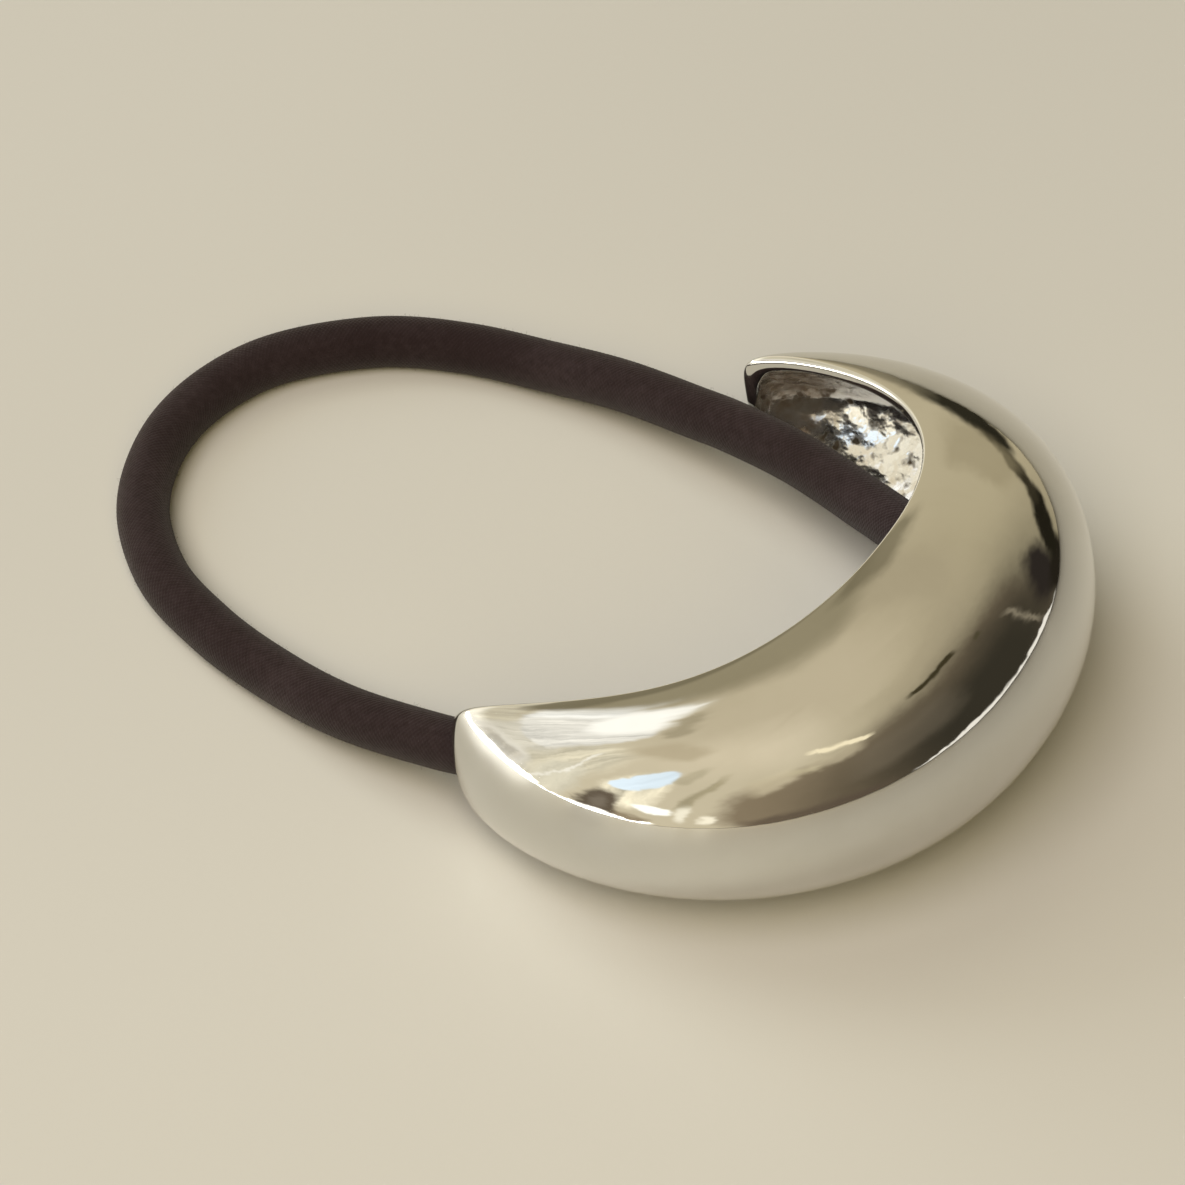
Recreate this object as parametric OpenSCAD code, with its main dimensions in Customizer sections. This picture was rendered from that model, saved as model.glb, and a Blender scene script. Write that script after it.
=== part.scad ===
// Ponytail cuff: a polished dome shell on an endless round hair elastic.
// Millimetres, +Z up. The cuff lies on its lower rim with its dome toward +X, the elastic on the table behind it.
// The origin is on the table, at the middle of the shell's own box.

/* [Rim plan] */
// Distance from the line between the tips to the middle of the rim
rim_reach = 25.3; // [18:0.1:34]
// Half the width between the two long sides of the rim
rim_half_w = 22.9; // [16:0.1:32]
// Angle of each tip, counted from the middle of the rim
tip_angle = 94.3; // [80:0.5:120]
// Fullness of the rim's curve, 2 being a plain ellipse
plan_power = 2.15; // [1.9:0.05:2.8]

/* [Dome] */
// Half the height of the shell at its middle
mid_half_h = 12.4; // [8:0.1:18]
// Half the height of the shell just before its tips
tip_half_h = 6.7; // [4:0.1:8]
// How far the dome bulges out from the rim at its middle
mid_depth = 13.3; // [8:0.1:20]
// How far it bulges out just before the tips
tip_depth = 3.3; // [2:0.1:6]
// How fast the height falls off from the middle to the tips
height_power = 1.75; // [1:0.05:2.5]
// How fast the bulge falls off from the middle to the tips
depth_power = 0.75; // [0.5:0.05:1.5]
// Thickness of the metal wall
wall = 1.25; // [1:0.05:2]

/* [Tips] */
// Roundness of a tip seen from the side, a higher number being squarer
tip_side_power = 6.4; // [3:0.1:10]
// Roundness of a tip seen from above, a higher number being squarer
tip_top_power = 3.9; // [2.5:0.1:8]

/* [Pose] */
// Angle by which the dome is tipped up where the cuff lies on a table
cuff_tilt = 10; // [0:0.5:14]

/* [Elastic] */
// Thickness of the covered elastic
cord_d = 4.4; // [3:0.1:5.5]
// How far the elastic's far bend lies beyond the tips
loop_reach = 43.6; // [30:0.1:60]
// Thickness of the bar that keeps the elastic in the hollow
keeper_d = 2; // [1.6:0.1:3]
// Gap between the elastic and the metal that holds it
cord_gap = 0.2; // [0.1:0.05:0.4]

/* [Parts] */
// Which sub-part to build

/* [Hidden] */
$fn = 48;
chrome = [0.80, 0.80, 0.78];
cloth = [0.20, 0.17, 0.16];

// Grid of the outer surface, then of the hollow: sections along the rim, points over each section
out_n = [64, 28];
in_n = [52, 20];
// Where the last section stands, as a share of the way to the tip
last_share = 0.9995;
// Fullness of the half-round section: along its height, then across its depth
arch = [2.2, 1.8];
// How far the hollow's cutter reaches past the rim
cut_over = 0.8 * wall;
// Length of half the rim, by which the end walls are as thick as the rest
half_rim = 3.1416 * (rim_reach + rim_half_w) / 2 * tip_angle / 180;
in_share = 1 - wall / half_rim;

// Powers of a signed number, and the rounding that closes each tip
function spow(v, p) = sign(v) * pow(abs(v), p);
function cap(s, p) = pow(max(0, 1 - pow(abs(s), p)), 1 / p);

// Rim plan: the point at an angle and the outward normal there
function rim_k(a) = pow(pow(abs(cos(a)), plan_power) + pow(abs(sin(a)), plan_power), -1 / plan_power);
function rim_at(a) = [rim_reach * cos(a) * rim_k(a), rim_half_w * sin(a) * rim_k(a)];
function unit(v) = v / norm(v);
function rim_normal(a) = let (p = rim_at(a))
  unit([spow(p[0] / rim_reach, plan_power - 1) / rim_reach, spow(p[1] / rim_half_w, plan_power - 1) / rim_half_w]);

// Half height and bulge at a share s of the way to a tip, before the tip is rounded
function half_h(s) = tip_half_h + (mid_half_h - tip_half_h) * pow(cos(90 * abs(s)), height_power);
function depth(s) = tip_depth + (mid_depth - tip_depth) * pow(cos(90 * abs(s)), depth_power);

// A point of the shell in the cuff's own frame: angle a, u out from the rim, height z
function shell_pt(a, u, z) = let (p = rim_at(a) + rim_normal(a) * u) [p[0], p[1], z];

// One section from the upper to the lower rim: h half height, d bulge, n steps
function arch_pts(a, h, d, n) = [for (i = [0:n]) let (v = cos(180 * i / n))
  shell_pt(a, d * pow(max(0, 1 - pow(abs(v), arch[0])), 1 / arch[1]), h * v)];

// Shares of the way from one tip to the other, closer together toward the tips
function shares(n, s_end) = [for (i = [0:n]) s_end * sin(180 * i / n - 90) / sin(90)];

// Outer surface: each ring is an arch, closed by the plane of the rim
out_rings = [for (s = shares(out_n[0], last_share))
  arch_pts(s * tip_angle, half_h(s) * cap(s, tip_side_power), depth(s) * cap(s, tip_top_power), out_n[1])];

// Hollow: the same arch one wall inside, run out past the rim toward the ponytail
function hollow_ring(s) = let (a = s * tip_angle, q = s / in_share,
    h = (half_h(s) - wall) * cap(q, tip_side_power), d = (depth(s) - wall) * cap(q, tip_top_power))
  concat([shell_pt(a, -cut_over, h)], arch_pts(a, h, d, in_n[1]), [shell_pt(a, -cut_over, -h)]);
in_rings = [for (s = shares(in_n[0], in_share * last_share)) hollow_ring(s)];

// Faces of a row of closed rings, with flat ends
function loft_faces(rings, m) = concat(
  [for (i = [0:rings - 2], j = [0:m - 1]) [i * m + j, (i + 1) * m + j, i * m + (j + 1) % m]],
  [for (i = [0:rings - 2], j = [0:m - 1]) [i * m + (j + 1) % m, (i + 1) * m + j, (i + 1) * m + (j + 1) % m]],
  [[for (j = [0:m - 1]) j]],
  [[for (j = [m - 1:-1:0]) (rings - 1) * m + j]]);
function flat(rings) = [for (r = rings, p = r) p];

// Pose: tip the dome up, then stand the shell's box on the table over the origin
function tipped(p) = [p[0] * cos(cuff_tilt) - p[2] * sin(cuff_tilt), p[1], p[0] * sin(cuff_tilt) + p[2] * cos(cuff_tilt)];
out_tipped = [for (p = flat(out_rings)) tipped(p)];
x_mid = (max([for (p = out_tipped) p[0]]) + min([for (p = out_tipped) p[0]])) / 2;
z_low = min([for (p = out_tipped) p[2]]);
function placed(p) = tipped(p) - [x_mid, 0, z_low];

// Keeper bar just inside the rim's plane, and the elastic's line behind it
keeper_u = 0.55 * keeper_d;
behind_u = keeper_u + keeper_d / 2 + cord_gap + cord_d / 2;

// Elastic inside the cuff, from the middle to a tip.
// Columns: share of the tip angle, distance out from the rim as a share of cord_d, height as a share of cord_d
inside = [
  [0.20, 0.62, -0.05],
  [0.42, -0.40, -0.20],
  [0.60, -0.74, -0.30],
  [0.82, -0.68, -0.30],
  [1.00, -0.41, -0.25]];
function inside_pt(r, side) = placed(shell_pt(side * r[0] * tip_angle, r[1] * cord_d, r[2] * cord_d));
mid_pt = placed(shell_pt(0, behind_u, 0));
tip_pt = inside_pt(inside[4], 1);

// Elastic on the table, from the tip on the -Y side round to the tip on the +Y side.
// Columns: share of loop_reach beyond the tips, share of the tip's own y, height over the table as a share of the tip's
outside = [
  [0.10, -1.015, 0.80],
  [0.28, -1.00, 0.43],
  [0.45, -0.93, 0.12],
  [0.63, -0.83, 0],
  [0.80, -0.67, 0],
  [0.94, -0.36, 0],
  [1.00, 0.08, 0],
  [0.95, 0.52, 0],
  [0.80, 0.86, 0],
  [0.63, 1.03, 0],
  [0.45, 1.09, 0.12],
  [0.28, 1.09, 0.43],
  [0.10, 1.035, 0.80]];
function outside_pt(r) = [tip_pt[0] - r[0] * loop_reach, r[1] * tip_pt[1], cord_d / 2 + r[2] * (tip_pt[2] - cord_d / 2)];

route = concat([mid_pt], [for (r = inside) inside_pt(r, -1)], [for (r = outside) outside_pt(r)],
  [for (i = [4:-1:0]) inside_pt(inside[i], 1)]);

// Smooth closed line through the route's points
cord_steps = 3;
function around(list, i) = list[(i + len(list)) % len(list)];
function curve_pt(i, t) = let (a = around(route, i - 1), b = around(route, i), c = around(route, i + 1), d = around(route, i + 2))
  b + (c - a) * t / 2 + (2 * a - 5 * b + 4 * c - d) * t * t / 2 + (3 * b - a - 3 * c + d) * t * t * t / 2;
line = [for (i = [0:len(route) - 1], k = [0:cord_steps - 1]) let (p = curve_pt(i, k / cord_steps))
  [p[0], p[1], max(p[2], cord_d / 2)]];

// Round tube swept along a closed line
cord_sides = 12;
function tube_ring(i) = let (t = unit(around(line, i + 1) - around(line, i - 1)), s = unit(cross(t, [0, 0, 1])), u = cross(s, t))
  [for (j = [0:cord_sides - 1]) let (a = 360 * (j + 0.5) / cord_sides)
    around(line, i) + (s * cos(a) + u * sin(a)) * cord_d / 2 / cos(180 / cord_sides) ];
function ring_faces(n, m) = concat(
  [for (i = [0:n - 1], j = [0:m - 1]) [i * m + j, i * m + (j + 1) % m, ((i + 1) % n) * m + j]],
  [for (i = [0:n - 1], j = [0:m - 1]) [i * m + (j + 1) % m, ((i + 1) % n) * m + (j + 1) % m, ((i + 1) % n) * m + j]]);

// Round saddle in an end wall, along the elastic where it leaves the tip
module saddle(side) {
  i = side < 0 ? 5 : len(route) - 5;
  dir = unit(around(route, i + 1) - around(route, i - 1));
  turn = atan2(dir[1], dir[0]);
  lean = acos(dir[2]);
  translate(route[i]) rotate([0, lean, turn]) cylinder(d = cord_d + 2 * cord_gap, h = 4 * cord_d, center = true);
}

// Polished dome with its end walls and keeper bar, cast and soldered as one
module cuff_shell() {
  color(chrome) difference() {
    translate([-x_mid, 0, -z_low]) rotate([0, -cuff_tilt, 0]) union() {
      difference() {
        polyhedron(flat(out_rings), loft_faces(out_n[0] + 1, out_n[1] + 1), convexity = 6);
        polyhedron(flat(in_rings), loft_faces(in_n[0] + 1, in_n[1] + 3), convexity = 6);
      }
      translate([rim_reach + keeper_u, 0, 0]) cylinder(d = keeper_d, h = 2 * mid_half_h - wall, center = true);
    }
    saddle(-1);
    saddle(1);
  }
}

// Endless round elastic: behind the keeper bar, out over both tips and round on the table
module elastic_loop() {
  color(cloth) polyhedron(flat([for (i = [0:len(line) - 1]) tube_ring(i)]), ring_faces(len(line), cord_sides), convexity = 8);
}

cuff_shell();
elastic_loop();
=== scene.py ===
"""Ponytail cuff: a mirror-plated, hollow dome of cast metal on an endless covered elastic.

Everything is in metres, +Z up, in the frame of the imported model. The cuff lies on its lower rim with its dome
toward +X, and the elastic lies on the table behind it.
"""

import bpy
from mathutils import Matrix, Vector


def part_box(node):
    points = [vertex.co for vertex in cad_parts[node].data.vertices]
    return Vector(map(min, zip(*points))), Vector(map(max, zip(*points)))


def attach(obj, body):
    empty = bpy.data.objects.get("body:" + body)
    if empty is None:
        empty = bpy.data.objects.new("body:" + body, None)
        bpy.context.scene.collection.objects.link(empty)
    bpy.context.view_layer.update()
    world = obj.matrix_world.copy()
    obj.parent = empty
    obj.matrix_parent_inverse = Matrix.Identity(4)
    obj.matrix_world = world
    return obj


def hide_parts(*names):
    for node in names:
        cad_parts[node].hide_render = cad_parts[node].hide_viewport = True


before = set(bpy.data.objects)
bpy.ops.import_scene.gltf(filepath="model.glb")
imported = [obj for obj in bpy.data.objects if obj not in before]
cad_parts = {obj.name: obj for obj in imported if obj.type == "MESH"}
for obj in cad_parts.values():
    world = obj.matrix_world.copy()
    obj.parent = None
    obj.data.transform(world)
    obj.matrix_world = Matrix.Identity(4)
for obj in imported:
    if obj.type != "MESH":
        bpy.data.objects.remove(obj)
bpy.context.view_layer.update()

import logging
import math
from dataclasses import dataclass, field
from enum import Enum
from typing import Any, Optional, Sequence

import bmesh
import bpy
import numpy as np
from mathutils import Vector, noise

MM = 0.001
FULL_TURN = 2 * math.pi
LOG = logging.getLogger("ponytail cuff")

# Lengths and shares too small to matter, which keep a division or a logarithm from running out
TINY = 1e-12
SMALL = 1e-9

# Blender's names for the kinds of node that are used most
NOISE = "ShaderNodeTexNoise"
RANGE = "ShaderNodeMapRange"
MIX = "ShaderNodeMix"
MATH = "ShaderNodeMath"
VECTOR = "ShaderNodeVectorMath"


# Shared helpers


def linear(hex_colour: str) -> tuple[float, float, float, float]:
    """Turn an sRGB hex colour into linear light, by the numbers of the sRGB standard.

    Args:
        hex_colour: six hex digits after a hash.

    Returns:
        Red, green, blue and an alpha of 1.
    """
    parts = [int(hex_colour[i:i + 2], 16) / 255 for i in (1, 3, 5)]
    red, green, blue = (c / 12.92 if c <= 0.04045 else ((c + 0.055) / 1.055) ** 2.4 for c in parts)
    return red, green, blue, 1.0


def feed(tree: bpy.types.NodeTree, node: bpy.types.Node, sockets: dict[Any, Any]) -> None:
    """Set or link a node's inputs.

    Args:
        tree: the node's tree.
        node: the node.
        sockets: for each input, by name or number, a value or the output that feeds it.
    """
    for key, value in sockets.items():
        if isinstance(value, bpy.types.NodeSocket):
            tree.links.new(value, node.inputs[key])
        else:
            node.inputs[key].default_value = value


def put(tree: bpy.types.NodeTree, kind: str, sockets: Optional[dict[Any, Any]] = None,
        **settings: Any) -> bpy.types.Node:
    """Add a node with its settings and links.

    Args:
        tree: the tree it goes in.
        kind: the node's type name.
        sockets: for each input, by name or number, a value or the output that feeds it.
        **settings: the node's own properties.

    Returns:
        The new node.
    """
    made = tree.nodes.new(kind)
    for name, value in settings.items():
        setattr(made, name, value)
    feed(tree, made, sockets or {})
    return made


def new_tree(name: str, inputs: dict[str, str], output: str) -> tuple[bpy.types.NodeTree, Any]:
    """Start a Geometry Nodes tree with named inputs, which gives back one geometry.

    Args:
        name: the tree's name.
        inputs: the kind of each input, by its name.
        output: the output's name.

    Returns:
        The tree, and the sockets that give its inputs.
    """
    tree = bpy.data.node_groups.new(name, "GeometryNodeTree")
    for label, kind in inputs.items():
        tree.interface.new_socket(label, in_out="INPUT", socket_type=f"NodeSocket{kind}")
    tree.interface.new_socket(output, in_out="OUTPUT", socket_type="NodeSocketGeometry")
    return tree, put(tree, "NodeGroupInput").outputs


def new_object(name: str, mesh: bpy.types.Mesh,
               materials: Sequence[bpy.types.Material] = ()) -> bpy.types.Object:
    """Put a mesh in the scene as an object at the origin.

    Args:
        name: the piece's name.
        mesh: its mesh, already in place.
        materials: its materials, in the order of the faces' numbers.

    Returns:
        The new object.
    """
    made = bpy.data.objects.new(name, mesh)
    for material in materials:
        mesh.materials.append(material)
    bpy.context.scene.collection.objects.link(made)
    return made


def dressed(guide: bpy.types.Object, tree: bpy.types.NodeTree, values: dict[str, Any],
            name: str) -> bpy.types.Object:
    """Run a Geometry Nodes tree on a guide and keep the result as a plain mesh.

    Args:
        guide: the object whose mesh the tree starts from.
        tree: the Geometry Nodes tree.
        values: the tree's inputs by name.
        name: the finished piece's name.

    Returns:
        The finished piece. The guide keeps no modifier.
    """
    modifier = guide.modifiers.new(tree.name, "NODES")
    modifier.node_group = tree
    for item in tree.interface.items_tree:
        if item.item_type == "SOCKET" and item.in_out == "INPUT" and item.name in values:
            modifier[item.identifier] = values[item.name]
    guide.update_tag()
    bpy.context.view_layer.update()
    evaluated = guide.evaluated_get(bpy.context.evaluated_depsgraph_get())
    mesh = bpy.data.meshes.new_from_object(evaluated)
    mesh.name = name
    guide.modifiers.remove(modifier)
    return new_object(name, mesh)


def tube_faces(rings: int, sides: int, closed: bool = False) -> list[tuple[int, ...]]:
    """The faces between neighbouring rings of points.

    Args:
        rings: how many rings there are.
        sides: how many points each ring has.
        closed: True where the last ring meets the first.

    Returns:
        Four point numbers for each face.
    """
    return [(i * sides + j, i * sides + (j + 1) % sides, (i + 1) % rings * sides + (j + 1) % sides,
             (i + 1) % rings * sides + j)
            for i in range(rings if closed else rings - 1) for j in range(sides)]


def closed_mesh(name: str, points: np.ndarray, faces: Sequence[Sequence[int]]) -> bpy.types.Mesh:
    """Make a closed mesh whose faces point outwards.

    Args:
        name: the mesh's name.
        points: its points, one a row.
        faces: its faces, all turned the same way round. A corner that repeats is left out.

    Returns:
        The mesh, shaded smooth.
    """
    first = np.array([face[:3] for face in faces])
    a, b, c = (points[first[:, n]] - points.mean(axis=0) for n in range(3))
    turned = float((a * np.cross(b, c)).sum()) < 0
    corners = [[c for n, c in enumerate(face) if c != face[n - 1]][::-1 if turned else 1] for face in faces]
    mesh = bpy.data.meshes.new(name)
    mesh.from_pydata(points.tolist(), [], corners)
    mesh.shade_smooth()
    return mesh


def signed_power(value: np.ndarray, power: float) -> np.ndarray:
    """Raise the size of a signed value to a power and keep its sign."""
    return np.sign(value) * np.abs(value) ** power


def smooth_max(value: np.ndarray, floor: float, blend: float) -> np.ndarray:
    """The larger of value and floor, rounded where they meet over the given blend."""
    near = np.clip(blend - np.abs(value - floor), 0, None)
    return np.maximum(value, floor) + near**2 / (4 * blend)


# Finishes


def new_material(name: str) -> tuple[bpy.types.Material, bpy.types.NodeTree, bpy.types.Node]:
    """Start a material.

    Args:
        name: the real material's name.

    Returns:
        The material, its node tree and its shader.
    """
    material = bpy.data.materials.new(name)
    material.use_nodes = True
    tree = material.node_tree
    tree.nodes.clear()
    shader = put(tree, "ShaderNodeBsdfPrincipled")
    put(tree, "ShaderNodeOutputMaterial", {"Surface": shader.outputs["BSDF"]})
    return material, tree, shader


@dataclass(frozen=True)
class MirrorPlate:
    """Bright chromium plate over a hand-buffed casting.

    Buffing leaves very long, shallow waves that bend reflections a little, and hairlines from wiping, so
    the mirror is sharp but not perfect. Fingers leave a faint haze. Real hairlines lie closer together, and
    these are as coarse as they need to be to show.
    """

    colour: str = "#D6D5D1"
    haze_colour: str = "#CDCBC5"
    roughness: float = 0.03
    haze_roughness: float = 0.08
    haze_size: float = 14 * MM
    wave_length: float = 9 * MM
    wave_height: float = 0.012 * MM
    ripple_length: float = 1.9 * MM
    ripple_share: float = 0.45
    hairline_spacing: float = 0.25 * MM
    hairline_stretch: float = 14.0
    hairline_turn: tuple[float, float, float] = (0.3, 0.5, 0.9)
    hairline_roughness: float = 0.05

    def make(self) -> bpy.types.Material:
        """Build the material.

        Returns:
            The material, whose haze and hairlines are roughness and whose waves are bump.
        """
        material, tree, shader = new_material("chromium plate, buffed")
        where = put(tree, "ShaderNodeTexCoord").outputs["Object"]
        smudge = put(tree, NOISE, {"Vector": where, "Scale": 1 / self.haze_size, "Detail": 4,
                                   "Roughness": 0.6})
        haze = put(tree, RANGE, {"Value": smudge.outputs["Fac"], "From Min": 0.45, "From Max": 0.8})
        tint = put(tree, MIX, {0: haze.outputs[0], 6: linear(self.colour), 7: linear(self.haze_colour)},
                   data_type="RGBA")
        drawn = put(tree, "ShaderNodeMapping", {"Vector": where, "Rotation": self.hairline_turn,
                                                "Scale": (1, self.hairline_stretch, 1)})
        lines = put(tree, NOISE, {"Vector": drawn.outputs[0], "Detail": 2,
                                  "Scale": 1 / (self.hairline_stretch * self.hairline_spacing)})
        rubbed = put(tree, RANGE, {"Value": lines.outputs["Fac"], "From Min": 0.62, "From Max": 0.8,
                                   "To Max": self.hairline_roughness})
        cloudy = put(tree, RANGE, {"Value": haze.outputs[0], "To Min": self.roughness,
                                   "To Max": self.haze_roughness})
        rough = put(tree, MATH, {0: cloudy.outputs[0], 1: rubbed.outputs[0]}, operation="ADD")
        wave = put(tree, NOISE, {"Vector": where, "Scale": 1 / self.wave_length, "Detail": 1})
        ripple = put(tree, NOISE, {"Vector": where, "Scale": 1 / self.ripple_length, "Detail": 1})
        both = put(tree, MATH, {0: ripple.outputs["Fac"], 1: self.ripple_share, 2: wave.outputs["Fac"]},
                   operation="MULTIPLY_ADD")
        bump = put(tree, "ShaderNodeBump", {"Height": both.outputs[0], "Distance": self.wave_height,
                                            "Strength": 1.0})
        feed(tree, shader, {"Base Color": tint.outputs[2], "Roughness": rough.outputs[0],
                            "Normal": bump.outputs[0], "Metallic": 1.0})
        return material


@dataclass(frozen=True)
class RawCasting:
    """Chromium plate straight over the unpolished inside of a casting.

    The plate is bright but the skin under it is lumpy and pitted, so it breaks reflections into small light
    and dark patches of about a millimetre, greyer in the pits where the plate is thin. Toward the tips a
    flecked, partly matt brown is painted on as painted shade, for the dim reflection of the shaded table.
    """

    colour: str = "#EAEAEB"
    pit_colour: str = "#5E554B"
    # Painted shade toward the tips: its colour and metalness, where it starts and ends along X, its weight and
    # fleck size
    painted_shade_colour: str = "#85786C"
    painted_shade_metal: float = 0.75
    painted_shade_from: float = -11 * MM
    painted_shade_to: float = -15 * MM
    painted_shade_weight: float = 0.75
    painted_shade_fleck: float = 0.8 * MM
    roughness: float = 0.18
    pit_roughness: float = 0.40
    lump: float = 1.05 * MM
    lump_height: float = 0.11 * MM
    grit: float = 0.35 * MM
    grit_share: float = 0.03

    def make(self) -> bpy.types.Material:
        """Build the material.

        Returns:
            The material, whose pits and painted shade are colour, roughness and metalness, and whose lumps are
            bump.
        """
        material, tree, shader = new_material("chromium plate, as cast")
        where = put(tree, "ShaderNodeTexCoord").outputs["Object"]
        lumps = put(tree, NOISE, {"Vector": where, "Scale": 1 / self.lump, "Detail": 2, "Roughness": 0.4})
        grit = put(tree, "ShaderNodeTexVoronoi", {"Vector": where, "Scale": 1 / self.grit},
                   feature="SMOOTH_F1")
        pits = put(tree, RANGE, {"Value": lumps.outputs["Fac"], "From Min": 0.42, "From Max": 0.28})
        tint = put(tree, MIX, {0: pits.outputs[0], 6: linear(self.colour), 7: linear(self.pit_colour)},
                   data_type="RGBA")
        # Painted shade: toward the tips the colour turns a flecked, partly matt brown, for the dim reflection
        # of the shaded table
        along = put(tree, "ShaderNodeSeparateXYZ", {0: where})
        tipward_shade = put(tree, RANGE, {"Value": along.outputs["X"], "From Min": self.painted_shade_from,
                                    "From Max": self.painted_shade_to})
        flecks = put(tree, NOISE, {"Vector": where, "Scale": 1 / self.painted_shade_fleck, "Detail": 4})
        shade_and_flecks = put(tree, MATH, {0: tipward_shade.outputs[0], 1: self.painted_shade_weight, 2: flecks.outputs["Fac"]},
                      operation="MULTIPLY_ADD")
        painted_shade_share = put(tree, RANGE, {"Value": shade_and_flecks.outputs[0], "From Min": 0.72, "From Max": 1.4})
        shade = put(tree, MIX, {0: painted_shade_share.outputs[0], 6: tint.outputs[2], 7: linear(self.painted_shade_colour)},
                    data_type="RGBA")
        rough = put(tree, RANGE, {"Value": pits.outputs[0], "To Min": self.roughness,
                                  "To Max": self.pit_roughness})
        bare = put(tree, RANGE, {"Value": painted_shade_share.outputs[0], "To Min": 1.0, "To Max": self.painted_shade_metal})
        both = put(tree, MATH, {0: grit.outputs["Distance"], 1: self.grit_share, 2: lumps.outputs["Fac"]},
                   operation="MULTIPLY_ADD")
        bump = put(tree, "ShaderNodeBump", {"Height": both.outputs[0], "Distance": self.lump_height,
                                            "Strength": 1.0})
        feed(tree, shader, {"Base Color": shade.outputs[2], "Metallic": bare.outputs[0],
                            "Roughness": rough.outputs[0], "Normal": bump.outputs[0]})
        return material


@dataclass(frozen=True)
class CoverYarn:
    """Spun polyester yarn, dyed dark brown.

    The yarn is matt, a little lighter where light grazes its fibres, and it varies slightly in shade from
    fleck to fleck and over longer stretches. Real fibres are finer, and these are as coarse as they need to
    be to show.
    """

    colour: str = "#261D1F"
    worn_colour: str = "#332A2D"
    roughness: float = 0.92
    gloss: float = 0.2
    sheen: float = 0.12
    sheen_roughness: float = 0.5
    fleck: float = 0.6 * MM
    stretch: float = 9 * MM
    fibre: float = 0.09 * MM
    fibre_height: float = 0.02 * MM

    def make(self) -> bpy.types.Material:
        """Build the material.

        Returns:
            The material, mottled in colour, with its fibres as bump.
        """
        material, tree, shader = new_material("polyester yarn, dark brown")
        where = put(tree, "ShaderNodeTexCoord").outputs["Object"]
        shade = put(tree, NOISE, {"Vector": where, "Scale": 1 / self.fleck, "Detail": 3})
        patch = put(tree, NOISE, {"Vector": where, "Scale": 1 / self.stretch, "Detail": 2})
        both = put(tree, MATH, {0: shade.outputs["Fac"], 1: patch.outputs["Fac"]}, operation="MULTIPLY")
        share = put(tree, RANGE, {"Value": both.outputs[0], "From Min": 0.15, "From Max": 0.42})
        tint = put(tree, MIX, {0: share.outputs[0], 6: linear(self.colour), 7: linear(self.worn_colour)},
                   data_type="RGBA")
        fibres = put(tree, NOISE, {"Vector": where, "Scale": 1 / self.fibre, "Detail": 2})
        bump = put(tree, "ShaderNodeBump", {"Height": fibres.outputs["Fac"], "Distance": self.fibre_height,
                                            "Strength": 0.6})
        feed(tree, shader, {"Base Color": tint.outputs[2], "Normal": bump.outputs[0],
                            "Roughness": self.roughness, "Specular IOR Level": self.gloss,
                            "Sheen Weight": self.sheen, "Sheen Roughness": self.sheen_roughness})
        return material


@dataclass(frozen=True)
class PaleTable:
    """Lacquered board in a pale neutral, with a soft gloss at a low angle. The lamps make it a warm beige."""

    colour: str = "#CBCBCB"
    roughness: float = 0.33
    gloss: float = 0.3
    cloud_size: float = 180 * MM
    cloud_depth: float = 0.03

    def make(self) -> bpy.types.Material:
        """Build the material.

        Returns:
            The material, very slightly clouded.
        """
        material, tree, shader = new_material("lacquered board, pale")
        where = put(tree, "ShaderNodeTexCoord").outputs["Object"]
        cloud = put(tree, NOISE, {"Vector": where, "Scale": 1 / self.cloud_size, "Detail": 2})
        share = put(tree, RANGE, {"Value": cloud.outputs["Fac"], "From Min": 0.3, "From Max": 0.7,
                                  "To Min": 1 - self.cloud_depth, "To Max": 1 + self.cloud_depth})
        tint = put(tree, VECTOR, {0: linear(self.colour)[:3], 3: share.outputs[0]}, operation="SCALE")
        feed(tree, shader, {"Base Color": tint.outputs[0], "Roughness": self.roughness,
                            "Specular IOR Level": self.gloss})
        return material


# The elastic


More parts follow.
